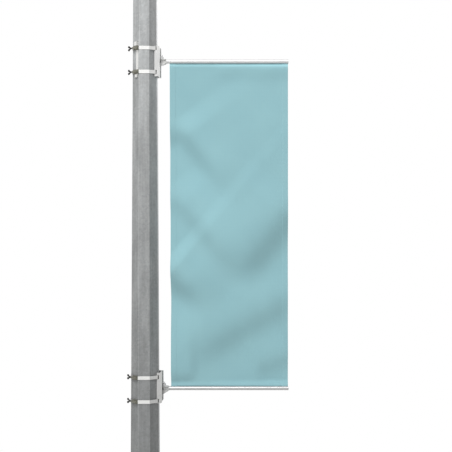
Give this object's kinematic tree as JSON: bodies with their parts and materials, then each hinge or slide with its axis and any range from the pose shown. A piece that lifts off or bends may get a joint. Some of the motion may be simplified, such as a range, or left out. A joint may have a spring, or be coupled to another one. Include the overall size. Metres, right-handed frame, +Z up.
{
  "type": "banner post",
  "caption": "Free-standing tapered octagonal steel post carrying a tall cloth banner between two keder rails on strapped saddles with swing pivots",
  "frame": {"origin": "centre of the base plate's underside, on the post's axis at ground level", "axes": "+Z up the post, +X along the rails towards the banner's free edge, -Y the side that carries the worm housings"},
  "size_m": [0.928, 0.4, 4.295],
  "materials": {
    "galvanised_steel": "hot-dip galvanised, mottled spangle",
    "cast_aluminium": "cast, bead blasted",
    "rail_aluminium": "extruded, silver anodised",
    "stainless_strap": "stainless band",
    "worm_housing_steel": "stamped, zinc plated",
    "wing_steel": "dark oxidised",
    "fastener_steel": "zinc plated",
    "banner_cloth": "knitted polyester, printed light blue-green",
    "keder_cord": "white keder bead"
  },
  "bodies": {
    "post": {"post_shaft": "galvanised_steel", "base_plate": "galvanised_steel", "base_gussets": "galvanised_steel", "post_cap": "galvanised_steel", "cap_screws": "fastener_steel", "upper_saddle": "cast_aluminium", "upper_pivot_bolt": "fastener_steel", "upper_pivot_washers": "fastener_steel", "upper_dome_nut": "fastener_steel", "upper_top_strap": "stainless_strap", "upper_top_worm_housing": "worm_housing_steel", "upper_bottom_strap": "stainless_strap", "upper_bottom_worm_housing": "worm_housing_steel", "lower_saddle": "cast_aluminium", "lower_pivot_bolt": "fastener_steel", "lower_pivot_washers": "fastener_steel", "lower_dome_nut": "fastener_steel", "lower_top_strap": "stainless_strap", "lower_top_worm_housing": "worm_housing_steel", "lower_bottom_strap": "stainless_strap", "lower_bottom_worm_housing": "worm_housing_steel", "upper_strap_tail": "stainless_strap"},
    "banner_arms": {"banner": "banner_cloth", "upper_keder_bead": "keder_cord", "lower_keder_bead": "keder_cord", "upper_tongue": "cast_aluminium", "upper_rail": "rail_aluminium", "upper_rail_set_screws": "fastener_steel", "upper_rail_end_cap": "rail_aluminium", "lower_tongue": "cast_aluminium", "lower_rail": "rail_aluminium", "lower_rail_set_screws": "fastener_steel", "lower_rail_end_cap": "rail_aluminium"},
    "upper_top_screw": {"upper_top_wing_screw": "wing_steel"},
    "upper_bottom_screw": {"upper_bottom_wing_screw": "wing_steel"},
    "lower_top_screw": {"lower_top_wing_screw": "wing_steel"},
    "lower_bottom_screw": {"lower_bottom_wing_screw": "wing_steel"}
  },
  "joints": [
    {"name": "banner_swing", "type": "hinge", "parent": "post", "child": "banner_arms", "pos_m": [0.09523, 0, 2.25], "axis": [-0.007, 0, 1], "range_deg": [-30, 30]},
    {"name": "upper_top_screw_turn", "type": "hinge", "parent": "post", "child": "upper_top_screw", "pos_m": [-0.04591, -0.05448, 3.9725], "axis": [-0.7071, 0.7071, 0], "continuous": true},
    {"name": "upper_bottom_screw_turn", "type": "hinge", "parent": "post", "child": "upper_bottom_screw", "pos_m": [-0.04616, -0.05508, 3.8525], "axis": [-0.7071, 0.7071, 0], "continuous": true},
    {"name": "lower_top_screw_turn", "type": "hinge", "parent": "post", "child": "lower_top_screw", "pos_m": [-0.04935, -0.06278, 2.3125], "axis": [-0.7071, 0.7071, 0], "continuous": true},
    {"name": "lower_bottom_screw_turn", "type": "hinge", "parent": "post", "child": "lower_bottom_screw", "pos_m": [-0.0496, -0.06338, 2.1925], "axis": [-0.7071, 0.7071, 0], "continuous": true}
  ]
}
